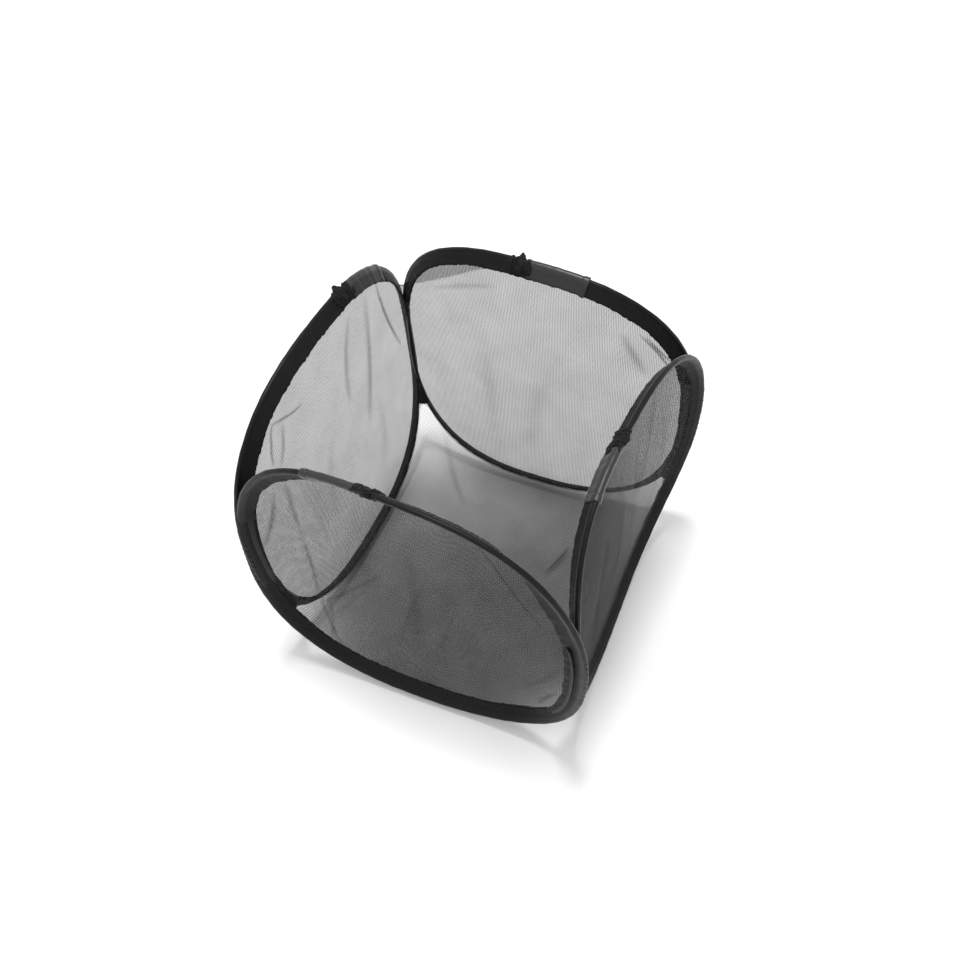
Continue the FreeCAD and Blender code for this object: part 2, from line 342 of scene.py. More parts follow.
taut = add(tree, "ShaderNodeMapRange",
           {"From Min": 0.002, "From Max": 0.0045, "To Min": 0.4, "To Max": 0.66},
           {"Value": strip.outputs["Y"]})
hem = add(tree, "ShaderNodeMapRange", {"From Min": 0.0085, "From Max": 0.0105},
          {"Value": strip.outputs["Y"]})
tone = add(tree, "ShaderNodeMix", {7: linear("#0c0c0d")}, {0: hem.outputs["Result"], 6: dye.outputs["Color"]},
           data_type="RGBA")
relief = add(tree, "ShaderNodeMath", {1: 0.5}, {0: weave.outputs[0], 2: slub.outputs["Fac"]},
             operation="MULTIPLY_ADD")
raised = add(tree, "ShaderNodeBump", {"Strength": 0.35, "Distance": 0.0002}, {"Height": relief.outputs[0]})
body = add(tree, "ShaderNodeBsdfPrincipled",
           {"Specular IOR Level": 0.22, "Sheen Weight": 0.14, "Sheen Roughness": 0.3,
            "Sheen Tint": linear("#e8e8e8")},
           {"Base Color": tone.outputs[2], "Roughness": taut.outputs["Result"],
            "Normal": raised.outputs["Normal"]})
add(tree, "ShaderNodeOutputMaterial", links={"Surface": body.outputs["BSDF"]})


def casing_section(bead, half, width):
    """Inward and thickness distances round the folded tape's section.

    A half circle round the bead, then a pillowed flange that thins smoothly to
    its rounded inner edge; bead, half and width may differ along the casing.
    """
    swing = np.linspace(0.45 * math.pi, 1.55 * math.pi, 13)
    inwards, across = bead[:, None] * np.cos(swing), bead[:, None] * np.sin(swing)
    share = np.array([0.12, 0.24, 0.36, 0.5, 0.64, 0.78, 0.9, 0.97])
    run = share * width[:, None]
    taper = half[:, None] * (1 + PILLOW * (1 - share) ** 1.5 * 1.15) * np.array([1, 1, 1, 1, 1, 1, 1, 0.7])
    tip = width[:, None]
    inwards = np.hstack([inwards, run, tip, run[:, ::-1]])
    across = np.hstack([across, -taper, np.zeros_like(tip), taper[:, ::-1]])
    return inwards, across


def ripple(along, seed, pitches, span):
    """Sum of sines that close up over the span, with seeded phases."""
    dice = np.random.default_rng(seed)
    waves = [np.sin(2 * math.pi * round(span / p) * along / span + dice.uniform(0, 6.283)) for p in pitches]
    return sum(waves) / len(waves)


for number, side in enumerate(SIDES):
    span = LENGTHS[side][-1] - LENGTHS[side][0]
    along = np.linspace(0, span, CASING_STEPS, endpoint=False)
    turn = turn_at(side, along)
    centre, inward, thick = casing_frame(side, turn)
    scallop = np.abs(ripple(along, 10 + number, (9, 13, 22), span))
    width = FLANGE_WIDTH + 1.1 * scallop + 0.6 * ripple(along, 20 + number, (45, 80, 130), span)
    at, spread, gain = WIDER.get(side, (0, 1, 0))
    width = width + gain * bump(np.degrees(turn), at, spread)
    plump = 1 + 0.07 * ripple(along, 30 + number, (16, 27, 60), span)
    inwards, lift = casing_section(BEAD_RADIUS * plump, TAPE_HALF * plump, width)
    far = np.clip((inwards - BEAD_RADIUS) / FLANGE_WIDTH, 0, 1) ** 1.5
    lift = lift + far * (0.5 * ripple(along, 40 + number, (11, 17, 29), span))[:, None]
    points = centre[:, None] + inwards[..., None] * inward[:, None] + lift[..., None] * thick[:, None]
    around = np.concatenate([np.abs(inwards[0]), np.abs(inwards[0, :1])]) / 1000
    uv = np.stack(np.broadcast_arrays(np.append(along, span)[:, None] / 1000, around), -1)
    mesh = grid_mesh(side + "_casing", points, uv, ring_rows=True, ring_columns=True)
    casing = fit(side + "_casing", turn_outwards(mesh), binding_tape, side + "_panel")
    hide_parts(side + "_hoop_casing")
    fold_flat(casing)

# ---- casing stitches ----------------------------------------------------
# Two rows of lockstitch in black sewing thread close each casing: one beside
# the bead and one near the inner edge, which also holds the net.
STITCH_LENGTH = 3.2
STITCH_GAP = 4.4
THREAD_RADIUS = 0.28
STITCH_ROWS = (4.2, 10.8)

# Bonded polyester thread: a hard twist with a slight waxed shine.
sewing_thread, tree = blank("black_bonded_thread")
place = add(tree, "ShaderNodeTexCoord")
twist = add(tree, "ShaderNodeTexNoise", {"Scale": 1500.0, "Detail": 2.0}, {"Vector": place.outputs["Object"]})
fuzz = add(tree, "ShaderNodeBump", {"Strength": 0.4, "Distance": 0.0001}, {"Height": twist.outputs["Fac"]})
dye = add(tree, "ShaderNodeValToRGB", links={"Fac": twist.outputs["Fac"]})
dye.color_ramp.elements[0].color = linear("#060606")
dye.color_ramp.elements[1].color = linear("#161616")
body = add(tree, "ShaderNodeBsdfPrincipled",
           {"Roughness": 0.5, "Specular IOR Level": 0.2, "Sheen Weight": 0.05},
           {"Base Color": dye.outputs["Color"], "Normal": fuzz.outputs["Normal"]})
add(tree, "ShaderNodeOutputMaterial", links={"Surface": body.outputs["BSDF"]})


def tube(path, radius, sides, up):
    """Points round a path: circles of that radius on the path's own normals."""
    tangent = np.gradient(path, axis=0)
    tangent /= np.linalg.norm(tangent, axis=-1, keepdims=True)
    first = np.cross(tangent, up)
    first /= np.linalg.norm(first, axis=-1, keepdims=True)
    second = np.cross(tangent, first)
    swing = np.linspace(0, 2 * math.pi, sides, endpoint=False)
    radius = np.broadcast_to(radius, path.shape[:1])[:, None, None]
    ring = np.cos(swing)[:, None] * first[:, None] + np.sin(swing)[:, None] * second[:, None]
    return path[:, None] + radius * ring


def many(name, grids):
    """One mesh of many equal closed tubes, each a grid of points by circles."""
    count, rows, columns = grids.shape[:3]
    index = np.arange(rows * columns).reshape(rows, columns)
    wide = np.hstack([index, index[:, :1]])
    quads = np.stack([wide[:-1, :-1], wide[1:, :-1], wide[1:, 1:], wide[:-1, 1:]], -1).reshape(-1, 4)
    shifts = (np.arange(count) * rows * columns)[:, None, None]
    faces = (quads + shifts).reshape(-1, 4).tolist()
    faces += (index[0] + shifts[:, 0]).tolist() + (index[-1][::-1] + shifts[:, 0]).tolist()
    mesh = bpy.data.meshes.new(name)
    mesh.from_pydata(grids.reshape(-1, 3) / 1000, [], faces)
    mesh.polygons.foreach_set("use_smooth", np.ones(len(mesh.polygons), bool))
    return mesh


for number, side in enumerate(SIDES):
    span = LENGTHS[side][-1] - LENGTHS[side][0]
    starts = np.arange(int(span / STITCH_GAP)) * span / int(span / STITCH_GAP)
    local = np.linspace(-0.5, 0.5, 5)
    along = starts[:, None] + local * STITCH_LENGTH
    arch = 0.22 * (1 - (2 * local) ** 2)
    swing = np.linspace(0, 2 * math.pi, 6, endpoint=False)
    slim = THREAD_RADIUS * np.array([0.35, 0.95, 1, 0.95, 0.35])
    centre, inward, thick = casing_frame(side, turn_at(side, along))
    pucker = 0.5 * ripple(along, 40 + number, (11, 17, 29), span)
    loops = []
    for row in STITCH_ROWS:
        sag = (max(row - BEAD_RADIUS, 0) / FLANGE_WIDTH) ** 1.5 * pucker
        for face in (-1, 1):
            skin = TAPE_HALF * (1 + PILLOW * (1 - row / FLANGE_WIDTH) ** 1.5 * 1.15)
            lift = face * (skin - 0.14 + arch) + sag
            line = centre + row * inward + lift[..., None] * thick
            ring = slim[:, None, None] * (np.cos(swing)[:, None] * inward[..., None, :]
                                          + np.sin(swing)[:, None] * thick[..., None, :])
            loops.append(line[:, :, None] + ring)
    mesh = turn_outwards(many(side + "_casing_stitches", np.concatenate(loops)))
    seam = fit(side + "_casing_stitches", mesh, sewing_thread, side + "_panel")
    fold_flat(seam)

# ---- hoop wires and ferrules --------------------------------------------
# Round spring-steel wire, bent into a hoop, lies in each casing's bead. Its
# two ends meet in a steel tube that is crimped over them under the splice.
WIRE_RADIUS = 1.4
WIRE_GAP = 2.0
FERRULE_RADIUS = 1.75
FERRULE_LENGTH = 36.0
CRIMP_DEPTH = 0.22
# Along each casing, from the top's middle: the knots' two ends, then the
# far end of the doubled sleeve.
SPLICE = {"front": (-4, -30, -72), "right": (-6, -32, -73), "back": (22, 0, -50), "left": (-32, -59, -110)}

# Drawn and tempered spring steel, oiled: a grey-blue metal with fine draw lines.
spring_steel, tree = blank("oiled_spring_steel")
place = add(tree, "ShaderNodeTexCoord")
draw = add(tree, "ShaderNodeTexNoise", {"Scale": 900.0, "Detail": 4.0}, {"Vector": place.outputs["Object"]})
oil = add(tree, "ShaderNodeMapRange", {"To Min": 0.28, "To Max": 0.5}, {"Value": draw.outputs["Fac"]})
stain = add(tree, "ShaderNodeValToRGB", links={"Fac": draw.outputs["Fac"]})
stain.color_ramp.elements[0].color = linear("#6a6d70")
stain.color_ramp.elements[1].color = linear("#9a9da1")
body = add(tree, "ShaderNodeBsdfPrincipled", {"Metallic": 1.0},
           {"Base Color": stain.outputs["Color"], "Roughness": oil.outputs["Result"]})
add(tree, "ShaderNodeOutputMaterial", links={"Surface": body.outputs["BSDF"]})

# Crimped mild steel tube, zinc plated: pale, duller in the pressed dents.
zinc_plate, tree = blank("zinc_plated_tube")
place = add(tree, "ShaderNodeTexCoord")
spangle = add(tree, "ShaderNodeTexVoronoi", {"Scale": 600.0}, {"Vector": place.outputs["Object"]})
dull = add(tree, "ShaderNodeMapRange", {"To Min": 0.3, "To Max": 0.55},
           {"Value": spangle.outputs["Distance"]})
stain = add(tree, "ShaderNodeValToRGB", links={"Fac": spangle.outputs["Distance"]})
stain.color_ramp.elements[0].color = linear("#a9acae")
stain.color_ramp.elements[1].color = linear("#c4c6c8")
body = add(tree, "ShaderNodeBsdfPrincipled", {"Metallic": 1.0},
           {"Base Color": stain.outputs["Color"], "Roughness": dull.outputs["Result"]})
add(tree, "ShaderNodeOutputMaterial", links={"Surface": body.outputs["BSDF"]})

for side in SIDES:
    span = LENGTHS[side][-1] - LENGTHS[side][0]
    joint = (SPLICE[side][1] + SPLICE[side][2]) / 2
    along = joint + np.linspace(WIRE_GAP / 2, span - WIRE_GAP / 2, 500)
    line = casing_frame(side, turn_at(side, along))[0]
    outward = np.array(SIDES[side][1], float)
    mesh = grid_mesh(side + "_wire", tube(line, WIRE_RADIUS, 10, outward), ring_columns=True,
                     closed_ends=True)
    wire = fit(side + "_wire", turn_outwards(mesh), spring_steel, side + "_panel")
    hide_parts(side + "_hoop_wire")
    fold_flat(wire)

    local = np.linspace(-1, 1, 61)
    line = casing_frame(side, turn_at(side, joint + local * FERRULE_LENGTH / 2))[0]
    crimps = sum(bump(local, at, 0.09) for at in (-0.7, -0.3, 0.3, 0.7))
    radius = FERRULE_RADIUS - CRIMP_DEPTH * crimps
    mesh = grid_mesh(side + "_ferrule", tube(line, radius, 16, outward), ring_columns=True, closed_ends=True)
    ferrule = fit(side + "_ferrule", turn_outwards(mesh), zinc_plate, side + "_panel")
    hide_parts(side + "_wire_ferrule")
    fold_flat(ferrule)

# ---- splice sleeves -----------------------------------------------------
# The tape's two ends overlap by a hand's width on the top edge. The outer end
# makes a thicker sleeve, and its cut end is turned under in a small fold.
SLEEVE_BEAD = 3.3
SLEEVE_HALF = 1.5
SLEEVE_WIDTH = 13.4
TURNED_FOLD = 5.0           # length of the folded end

# The same tape pulled tight over the sleeve, which makes it shine a little.
tight_tape = binding_tape.copy()
tight_tape.name = "black_tight_tape"
surface = next(node for node in tight_tape.node_tree.nodes if node.type == "BSDF_PRINCIPLED")
surface.inputs["Specular IOR Level"].default_value = 0.7
surface.inputs["Sheen Weight"].default_value = 0.75

for number, side in enumerate(SIDES):
    near, middle, far = SPLICE[side]
    along = np.linspace(middle + 4, far, 90)
    centre, inward, thick = casing_frame(side, turn_at(side, along))
    fold = step(along, far + TURNED_FOLD + 0.8, far + TURNED_FOLD)
    wave = ripple(along, 60 + number, (9, 14, 31), 600)
    bead = SLEEVE_BEAD * (1 + 0.05 * wave) + 0.55 * fold
    half = SLEEVE_HALF * (1 + 0.08 * wave) + 0.25 * fold
    width = SLEEVE_WIDTH + 0.5 * wave + 0.3 * fold
    inwards, lift = casing_section(bead, half, width)
    points = centre[:, None] + inwards[..., None] * inward[:, None] + lift[..., None] * thick[:, None]
    around = np.concatenate([np.abs(inwards[0]), np.abs(inwards[0, :1])]) / 1000
    uv = np.stack(np.broadcast_arrays(along[:, None] / 1000, around), -1)
    mesh = grid_mesh(side + "_sleeve", points, uv, ring_columns=True, closed_ends=True)
    sleeve = fit(side + "_sleeve", turn_outwards(mesh), tight_tape, side + "_panel")
    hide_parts(side + "_splice_sleeve")
    fold_flat(sleeve)

# ---- splice knots and whippings -----------------------------------------
# At one end of the sleeve the gathered tape is bound with black cord, wound
# round it in two places, and the bunched cloth stands up in a pointed lump.
CORD_RADIUS = 0.55
CORD_STAND = 0.25           # how far the cord's centre stands off the cloth
TIES = (0.22, 0.66)         # places of the two windings, as shares of the bunch
WINDINGS = 4.0
LUMP_HEIGHT = {"front": 4.6, "right": 3.6, "back": 3.4, "left": 3.8}

BUNCH_MIDDLE = 4.4          # from the bead's centre in to the bunch's middle
BUNCH_HALF_WIDTH = 7.6
BUNCH_HALF_HEIGHT = 3.5


def bunch(share, swing, phases, lump_height, grow=0.0):
    """Inward and thickness distances of the gathered tape's surface.

    It is a flattened tube, pinched at the ties. Ridges are sines of the turn
    round it that drift along it. The lump is a Gaussian in both directions.
    grow stands a thread off the surface.
    """
    ends = step(share, 0, 0.12) * step(share, 1, 0.88)
    pinch = 1 - 0.2 * sum(bump(share, at, 0.07) for at in TIES)
    ridges = (0.10 * np.sin(3 * swing + 9 * share + phases[0])
              + 0.07 * np.sin(5 * swing - 13 * share + phases[1])
              + 0.05 * np.sin(8 * swing + 21 * share + phases[2])
              + 0.05 * np.sin(17 * share + phases[3]))
    lump = lump_height * bump(share, 0.44, 0.11) * bump(np.cos(swing + 0.35), -1, 0.16)
    size = pinch * (1 + ridges * (0.35 + 0.65 * ends)) * (0.86 + 0.14 * ends)
    inwards = BUNCH_MIDDLE + (BUNCH_HALF_WIDTH * size + lump + grow) * np.cos(swing)
    return inwards, (BUNCH_HALF_HEIGHT * size + 0.3 * lump + grow) * np.sin(swing)


for number, side in enumerate(SIDES):
    near, middle, far = SPLICE[side]
    share = np.linspace(0, 1, 110)
    swing = np.linspace(0, 2 * math.pi, 72, endpoint=False)
    phases = np.random.default_rng(80 + number).uniform(0, 6.283, 6)
    s, a = np.meshgrid(share, swing, indexing="ij")
    inwards, lift = bunch(s, a, phases, LUMP_HEIGHT[side])
    along = near + share * (middle - near)
    centre, inward, thick = casing_frame(side, turn_at(side, along))
    points = centre[:, None] + inwards[..., None] * inward[:, None] + lift[..., None] * thick[:, None]
    uv = np.stack(np.broadcast_arrays(along[:, None] / 1000, np.linspace(0, 0.008, 73)), -1)
    mesh = grid_mesh(side + "_knots", points, uv, ring_columns=True, closed_ends=True)
    knots = fit(side + "_knots", turn_outwards(mesh), binding_tape, side + "_panel")
    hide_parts(side + "_thread_knots")
    fold_flat(knots)

    grids = []
    for at in TIES:
        path = np.linspace(0, 1, int(WINDINGS * 40))
        s = at + (path - 0.5) * WINDINGS * 2.3 * CORD_RADIUS / (near - middle)
        inwards, lift = bunch(s, path * WINDINGS * 2 * math.pi, phases, LUMP_HEIGHT[side], CORD_STAND)
        centre, inward, thick = casing_frame(side, turn_at(side, near + s * (middle - near)))
        line = centre + inwards[:, None] * inward + lift[:, None] * thick
        grids.append(tube(line, CORD_RADIUS, 8, thick + 0.3 * inward))
    mesh = turn_outwards(many(side + "_whipping", np.stack(grids)))
    whipping = fit(side + "_whipping", mesh, sewing_thread, side + "_panel")
    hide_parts(side + "_splice_whipping")
    fold_flat(whipping)

# ---- net panels ---------------------------------------------------------
# One square of fine black polyester netting fills each hoop. Its edge is
# sewn into the casing's flange, and it is creased from being packed flat.
NET_TUCK = 3.0              # how far the net's edge lies inside the flange
NET_GRID = 190
THREAD_PITCH = 0.0015       # metres between the net's threads
SLACK = {"front": -17.0, "right": -16.0, "back": -19.0, "left": -12.0}
# Creases as (right, up) of both ends, half width, height and how much denser
# the doubled threads look there, in millimetres and as a share.
CREASES = {
    "front": [((-108, 108), (-140, 10), 1.7, 1.2, 0.30), ((-94, 124), (-96, 45), 1.9, 1.6, 0.26),
              ((-96, 50), (-96, -36), 1.9, 1.6, 0.30), ((-96, -28), (-84, -134), 1.9, 1.4, 0.24),
              ((-86, -30), (-97, -118), 2.2, 1.0, 0.20), ((62, 136), (122, 54), 1.4, 1.6, 0.34),
              ((131, 5), (98, -58), 2.4, 1.3, 0.20), ((130, -38), (110, -86), 1.8, 1.3, 0.30),
              ((-68, 130), (-76, 50), 7.0, 2.2, 0.08), ((-30, 128), (-44, 10), 8.0, 2.0, 0.06),
              ((2, 90), (-10, -90), 5.0, 1.4, 0.10), ((40, 70), (20, -100), 7.0, 1.6, 0.05)],
    "right": [((66, 124), (30, 10), 4.0, 1.5, 0.10), ((36, 100), (22, -60), 3.0, 1.2, 0.10),
              ((-6, 90), (-14, -60), 3.5, 1.2, 0.08), ((-40, 50), (-60, -80), 4.0, 1.4, 0.08),
              ((88, 60), (70, -90), 5.0, 1.6, 0.08)],
    "back": [((-80, 100), (-102, 52), 4.0, 2.0, 0.14), ((-94, 106), (-128, 60), 1.3, 1.4, 0.30),
             ((-100, 104), (-126, 74), 1.2, 1.0, 0.28), ((106, 86), (36, 118), 3.0, 1.2, 0.10),
             ((-20, 60), (10, -110), 9.0, 1.6, 0.04), ((60, 60), (50, -90), 8.0, 1.4, 0.04)],
    "left": [((-42, 122), (-18, 36), 3.4, 1.8, 0.16), ((-70, 120), (-38, -12), 3.8, 2.0, 0.18),
             ((-90, 122), (-121, 12), 1.6, 1.6, 0.32), ((44, 100), (84, 115), 1.3, 1.0, 0.26),
             ((82, 116), (95, 74), 1.4, 1.2, 0.28), ((72, 106), (88, 66), 2.0, 1.0, 0.18),
             ((20, 30), (40, -70), 6.0, 1.6, 0.06), ((-60, 10), (-50, -80), 6.0, 1.8, 0.06)],
}


def net_cloth(name, thread_share):
    """A netting material: dark threads in a square grid, clear between them.

    A thread lies where the lower of two crossed sine waves is near its trough,
    to the width that the share gives: (1 - cos(pi share)) / 2. A slow noise and
    the piece's fold mark thicken the veil, as doubled or gathered netting does.
    On the floor the fold mark also carries painted shade and painted light.
    """
    material, tree = blank(name)
    cloth = add(tree, "ShaderNodeUVMap", uv_map="cloth")
    fold = add(tree, "ShaderNodeAttribute", attribute_name="fold")
    across, down = [
        add(tree, "ShaderNodeTexWave", {"Scale": 2 * math.pi / 20 / THREAD_PITCH, "Distortion": 0.0},
            {"Vector": cloth.outputs["UV"]}, bands_direction=direction).outputs["Fac"] for direction in "XY"]
    trough = add(tree, "ShaderNodeMath", links={0: across, 1: down}, operation="MINIMUM")
    edge = (1 - math.cos(math.pi * thread_share)) / 2
    thread = add(tree, "ShaderNodeMapRange",
                 {"From Min": edge - 0.12, "From Max": edge + 0.25, "To Min": 0.82, "To Max": 0.37},
                 {"Value": trough.outputs[0]}, interpolation_type="SMOOTHSTEP")
    cloud = add(tree, "ShaderNodeTexNoise", {"Scale": 26.0, "Detail": 4.0, "Roughness": 0.6},
                {"Vector": cloth.outputs["UV"]})
    veil = add(tree, "ShaderNodeMath", {1: 0.16, 2: -0.08}, {0: cloud.outputs["Fac"]},
               operation="MULTIPLY_ADD")
    # Noise veil plus the fold mark; on the floor this sum carries painted shade and painted light.
    density_and_painted_shade = add(tree, "ShaderNodeMath", links={0: veil.outputs[0], 1: fold.outputs["Fac"]},
                operation="ADD")
    cover = add(tree, "ShaderNodeMath", links={0: thread.outputs["Result"], 1: density_and_painted_shade.outputs[0]},
                operation="ADD", use_clamp=True)
    threads = add(tree, "ShaderNodeBsdfPrincipled",
                  {"Base Color": linear("#202020"), "Roughness": 0.7, "Specular IOR Level": 0.12,
                   "Sheen Weight": 0.03, "Sheen Roughness": 0.4})
    clear = add(tree, "ShaderNodeBsdfTransparent")
    both = add(tree, "ShaderNodeMixShader", links={0: cover.outputs[0], 1: clear.outputs["BSDF"],
                                                   2: threads.outputs["BSDF"]})
    add(tree, "ShaderNodeOutputMaterial", links={"Surface": both.outputs["Shader"]})
    return material


# Black polyester netting, knitted and heat set: a fine even grey veil that
# darkens where it is doubled, with a faint sheen on its threads.
panel_net = net_cloth("black_polyester_netting", 0.25)


def crease_field(creases, right, up):
    """Height and density of the creases at each place.

    Each crease is a Gaussian across its line, in a window along it that is a
    sine's half wave to a low power, so that it fades towards both ends.
    """
    height, dense = np.zeros_like(right), np.zeros_like(right)
    for number, (start, end, half_width, rise, share) in enumerate(creases):
        line = np.subtract(end, start)
        length = np.hypot(*line)
        line = line / length
        along = ((right - start[0]) * line[0] + (up - start[1]) * line[1]) / length
        side_step = (right - start[0]) * line[1] - (up - start[1]) * line[0]
        side_step = side_step + 0.03 * length * np.sin(math.pi * along) * (-1) ** number
        window = np.sin(math.pi * np.clip(along, 0, 1)) ** 0.6
        height += rise * window * np.exp(-(side_step / (2.2 * half_width)) ** 2) * (-1) ** number
        dense += share * window * np.exp(-(side_step / half_width) ** 2)
    return height, dense


def drawn_density(side, right, up):
    """How much denser or thinner a panel's net is, in places or all over.

    The right net is thinner at its top back and denser towards its lower front
    corner. The front net is the thinnest. A flap of the back net is turned over
    along a slanting line.
    """
    if side == "right":
        towards_front = 0.16 * step(right, 130, 60) + 0.32 * step(right, 60, -90)
        return -0.14 + towards_front + 0.16 * step(up, -10, -100)
    if side == "front":
        return np.full_like(right, -0.22)
    if side == "back":
        return 0.2 * step(0.558 * right + 0.83 * up, 137, 139.5)
    return np.zeros_like(right)


for number, side in enumerate(SIDES):
    p, q = np.meshgrid(np.linspace(-1, 1, NET_GRID), np.linspace(-1, 1, NET_GRID), indexing="ij")
    x, y = p * np.sqrt(1 - q * q / 2), q * np.sqrt(1 - p * p / 2)
    share, turn = np.hypot(x, y), np.arctan2(x, y)
    centre, inward, thick = casing_frame(side, turn)
    edge = centre + (FLANGE_WIDTH - NET_TUCK) * inward
    along_axis, out_axis = (np.array(v, float) for v in SIDES[side])
    edge_right, edge_up = edge @ along_axis, edge[..., 2] - MID_HEIGHT
    edge_out = edge @ out_axis - HALF_TRAP
    right, up = edge_right * share, edge_up * share
    out = SLACK[side] + (edge_out - SLACK[side]) * share ** 2
    height, dense = crease_field(CREASES[side], right, up)
    hold = 1 - share ** 8
    gathers = 0.5 * share ** 5 * np.sin(38 * turn + 3 * np.sin(5 * turn + number)) * (1 - share ** 24)
    sag = 0.8 * np.sin(right / 31 + number) * np.sin(up / 37 + 2 * number) * hold
    out = out + height * hold + gathers + sag
    dense = dense + drawn_density(side, right, up)
    # The hem shows through as a darker band beside the flange, with a frayed edge.
    inset = (1 - share) * HALF_TRAP
    fray = 1.2 + 0.8 * np.sin(67 * turn + 2 * np.sin(11 * turn)) * np.sin(29 * turn + number)
    dense = dense + 0.5 * step(inset, fray + 1.0, fray - 0.6)
    points = to_trap(side, right, out, up)
    mesh = grid_mesh(side + "_net", points, np.stack([right, up], -1) / 1000, marks={"fold": dense})
    net = fit(side + "_net", mesh, panel_net, side + "_panel")
    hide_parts(side + "_net_panel")
    fold_flat(net)

# ---- slack net floor and corner gussets ---------------------------------
# The floor is one more square of the same netting, sewn to the bottom of all
# four casings. It is cut large, so it sags to the ground, and its corners run
# up between the hoops as gussets. It is built as four quarters, one for each
# side, which meet along the diagonals.
GUSSET_TOP = -80.0          # height of the gussets' tips above the trap's middle
FLOOR_LEVEL = 3.2           # of the slack net's middle, above the ground
FLOOR_ROWS = 100
FLOOR_COLUMNS = 150
SAG_POWER = 5.0             # the higher, the closer to the rim the net comes down
FLOOR_CREASES = [((61, 62), (50, 24), 1.6, 1.6, 0.28), ((-110, 130), (-60, 70), 3.0, 1.6, 0.12),
                 ((-128, -110), (-100, -40), 2.4, 1.8, 0.16), ((-58, -20), (-46, -108), 1.6, 0.7, 0.07),
                 ((-16, -40), (-10, -112), 2.0, 0.6, 0.05)]
floor_netting = net_cloth("slack_floor_netting", 0.25)


def flange_edge(side, turn, inset):
    """Place on the casing's flange, that far in from the bead's centre."""
    centre, inward, thick = casing_frame(side, turn)
    return centre + inset * inward - (TAPE_HALF + 0.2) * thick


def turn_at_height(side, up, hand):
    """Turn of the outline at a height, on its right (1) or left (-1) half."""
    turns = np.linspace(0.15, math.pi, 2000) * hand
    return np.interp(-up, -outline(side, turns)[2], turns)


STANDS_FOR = {"front": ("front_right_gusset", "floor_net"), "right": ("back_right_gusset",),
              "back": ("back_left_gusset",), "left": ("front_left_gusset",)}
ORDER = list(SIDES)
TIPS = {}
for number, side in enumerate(ORDER):
    other = ORDER[(number + 1) % 4]
    sewn = [flange_edge(own, np.array([turn_at_height(own, GUSSET_TOP, hand)]), FLANGE_WIDTH - NET_TUCK)[0]
            for own, hand in ((side, 1), (other, -1))]
    TIPS[(side, other)] = (sewn[0] + sewn[1]) / 2

for number, side in enumerate(ORDER):
    right_tip, left_tip = TIPS[(side, ORDER[(number + 1) % 4])], TIPS[(ORDER[number - 1], side)]
    stations = np.linspace(-1, 1, FLOOR_COLUMNS)
    start = turn_at_height(side, GUSSET_TOP, 1)
    end = turn_at_height(side, GUSSET_TOP, -1) + 2 * math.pi
    turn = start + (end - start) * (1 - stations) / 2
    rim = flange_edge(side, (turn + math.pi) % (2 * math.pi) - math.pi, FLANGE_WIDTH - NET_TUCK)
    edge_share = step(np.abs(stations), 0.94, 1.0)[:, None]
    tip = np.where(stations[:, None] > 0, right_tip, left_tip)
    rim = rim * (1 - edge_share) + tip * edge_share
    depth = np.linspace(0, 1, FLOOR_ROWS)[None, :] ** 1.25
    plan = rim[:, None, :2] * (1 - depth[..., None])
    x, y = plan[..., 0], plan[..., 1]
    waves = (0.9 * np.sin(x / 13 + 1.2 * np.sin(y / 29)) * np.sin(y / 17 + 0.8)
             + 1.3 * np.sin((x + y) / 34) * np.sin((x - y) / 41 + 1))
    height, dense = crease_field(FLOOR_CREASES, x, y)
    level = FLOOR_LEVEL + np.clip(waves + height + 1.2, -1.6, 6)
    drop = (1 - depth) ** SAG_POWER
    z = level * (1 - drop) + rim[:, None, 2] * drop
    points = np.concatenate([plan, z[..., None]], -1)
    hem = step(depth * HALF_TRAP, 2.6, 1.2) * 0.4
    # Painted shade and painted light in the floor's density: a little thinner all over,
    # denser towards the front right as painted shade, and thinner at its corners as
    # painted light, where light reaches the ground under the gussets.
    from_corner = np.hypot(np.abs(x) - HALF_TRAP, np.abs(y) - HALF_TRAP)
    density_and_painted_shade = 0.17 * step(x - y, -200, 40) - 0.12 - 0.34 * bump(from_corner, 0, 56)
    mesh = grid_mesh("floor_" + side, points, plan / 1000, marks={"fold": dense + hem + density_and_painted_shade})
    quarter = fit("floor_" + side, mesh, floor_netting, side + "_panel")
    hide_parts(*STANDS_FOR[side])
    fold_flat(quarter)

# ---- corner seams, top webs and overcasting -----------------------------
# Down each corner the two flanges lie face to face and a narrow tape is sewn
# over their edges; this flexes as the hinge. Thread laced over both beads
# holds them, and a small patch of net closes the notch above the seam.
SEAM_TOP = 57.0
SEAM_BOTTOM = -84.0
SEAM_TAPE_LEG = 6.0         # how far the tape reaches along each flange
SEAM_TAPE_THICK = 0.0009    # metres
LACING_PITCH = 8.0
LACING_TOP = 44.0
LACING_BOTTOM = -36.0
LACING_RADIUS = 0.26
LACING_STAND = 0.15         # from the beads' cloth to the thread's centre
WEB_HEIGHT = 23.0
WEB_TUCK = 10.0             # how far the patch runs down between the flanges
CORNERS = {"front_right": ("front", "right", "front"), "back_right": ("right", "back", "back"),
           "back_left": ("back", "left", "back"), "front_left": ("left", "front", "front")}

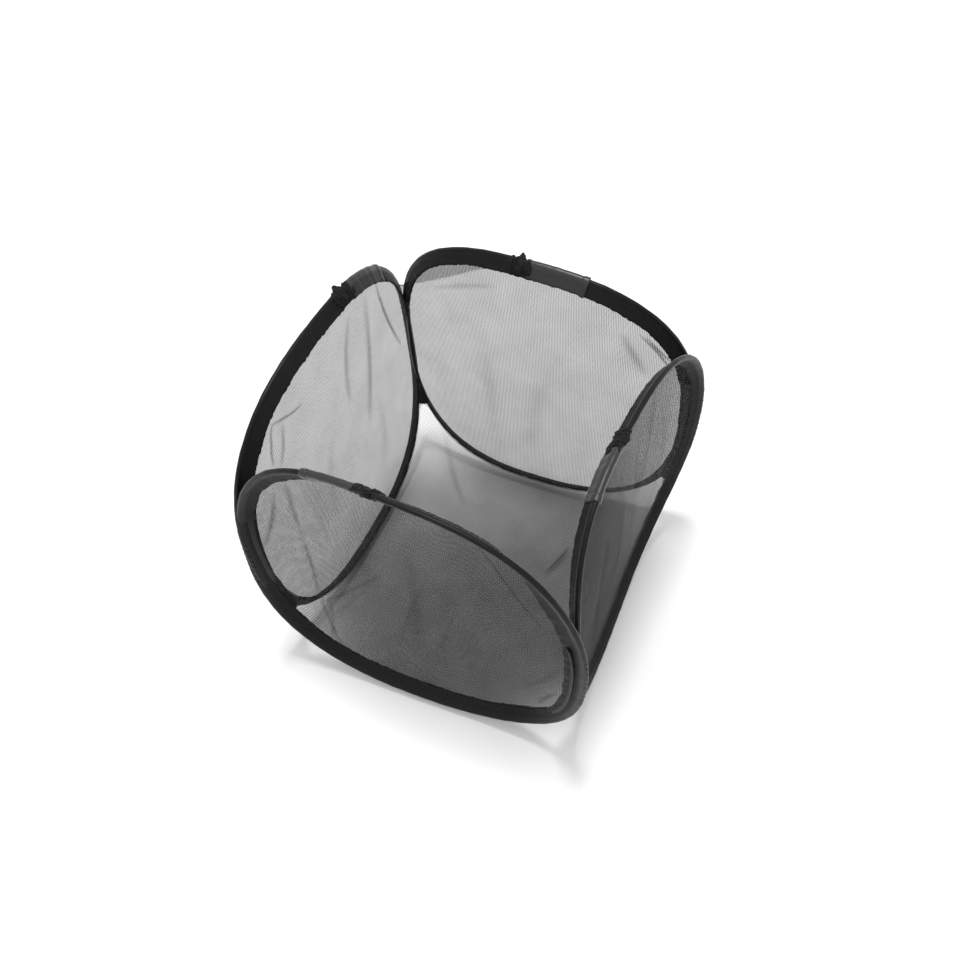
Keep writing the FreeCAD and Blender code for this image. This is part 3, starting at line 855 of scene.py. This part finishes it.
for corner, (first, second, holder) in CORNERS.items():
    ups = np.linspace(SEAM_BOTTOM, SEAM_TOP, 90)
    turns = [turn_at_height(first, ups, 1), turn_at_height(second, ups, -1)]
    tips = [flange_edge(s, t, FLANGE_WIDTH) for s, t in zip((first, second), turns)]
    spine = (tips[0] + tips[1]) / 2
    spread = np.linalg.norm(tips[0] - tips[1], axis=-1)
    out_way = np.array(SIDES[first][1], float) + np.array(SIDES[second][1], float)
    out_way /= np.linalg.norm(out_way)
    wide_way = (tips[1] - tips[0]) / np.maximum(spread, 0.5)[:, None]
    # A flattened U: its two legs lie along the flanges, its bend round their edges.
    swing = np.linspace(-1, 1, 17)
    legs = np.abs(swing) ** 1.5 * SEAM_TAPE_LEG
    reach = np.sign(swing) * np.minimum(np.abs(swing) * 2.2, 1) * (spread[:, None] / 2 + 1.2)
    points = spine[:, None] + reach[..., None] * wide_way[:, None] + (legs - 0.9)[None, :, None] * out_way
    uv = np.stack(np.broadcast_arrays(ups[:, None] / 1000, swing * 0.006), -1)
    mesh = grid_mesh(corner + "_seam", points, uv)
    seam = fit(corner + "_seam", mesh, binding_tape, holder + "_panel")
    wall = seam.modifiers.new("cloth", "SOLIDIFY")
    wall.thickness = SEAM_TAPE_THICK
    wall.offset = 0
    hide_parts(corner + "_seam_tape")
    fold_flat(seam)

    # Overcasting: a coil round both beads, an ellipse that climbs the corner.
    climb = np.linspace(0, 1, int((LACING_TOP - LACING_BOTTOM) / LACING_PITCH * 28))
    up = LACING_BOTTOM + climb * (LACING_TOP - LACING_BOTTOM)
    round_it = climb * (LACING_TOP - LACING_BOTTOM) / LACING_PITCH * 2 * math.pi
    pair = [casing_frame(s, turn_at_height(s, up, h))[0] for s, h in ((first, 1), (second, -1))]
    middle = (pair[0] + pair[1]) / 2
    apart = pair[1] - pair[0]
    gap = np.linalg.norm(apart, axis=-1, keepdims=True)
    wide_way = apart / gap
    line = middle + (gap / 2 + BEAD_RADIUS + LACING_STAND) * np.cos(round_it)[:, None] * wide_way \
        + (BEAD_RADIUS + LACING_STAND) * np.sin(round_it)[:, None] * np.cross(wide_way, [0, 0, 1])
    coil = tube(line, LACING_RADIUS, 7, np.array([0.05, 0.02, 1.0]))
    mesh = grid_mesh(corner + "_lacing", coil, ring_columns=True, closed_ends=True)
    hinged = corner != "back_left"
    rider = None if hinged else holder + "_panel"
    lacing = fit(corner + "_lacing", turn_outwards(mesh), sewing_thread, rider)
    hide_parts(corner + "_stitching")
    if hinged:
        start, end = (tuple(bead.mean(axis=0) / 1000) for bead in pair)
        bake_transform(lacing)
    else:
        fold_flat(lacing)

    # Top web: two small wings of net, from the seam's top out to each bead.
    for hand, own, other, share_of in ((1, first, second, "a"), (-1, second, first, "b")):
        ups = np.linspace(SEAM_TOP - WEB_TUCK, SEAM_TOP + WEB_HEIGHT, 24)
        own_edge = flange_edge(own, turn_at_height(own, ups, hand), 4.0)
        far_edge = flange_edge(other, turn_at_height(other, ups, -hand), 4.0)
        blend = np.linspace(0, 0.5, 12)[None, :, None]
        points = own_edge[:, None] * (1 - blend) + far_edge[:, None] * blend
        points[..., 2] -= 3.0 * np.sin(math.pi * blend[..., 0]) * np.linspace(0, 1, 24)[:, None]
        flat_map = np.stack(np.broadcast_arrays(hand * blend[..., 0] * 0.03, ups[:, None] / 1000), -1)
        mesh = grid_mesh(corner + "_top_web_" + share_of, points, flat_map,
                         marks={"fold": 0.3 * step(np.broadcast_to(ups[:, None], points.shape[:2]), 76, 78)})
        web = fit(corner + "_top_web_" + share_of, mesh, panel_net, own + "_panel")
        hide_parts(corner + "_top_web")
        fold_flat(web)
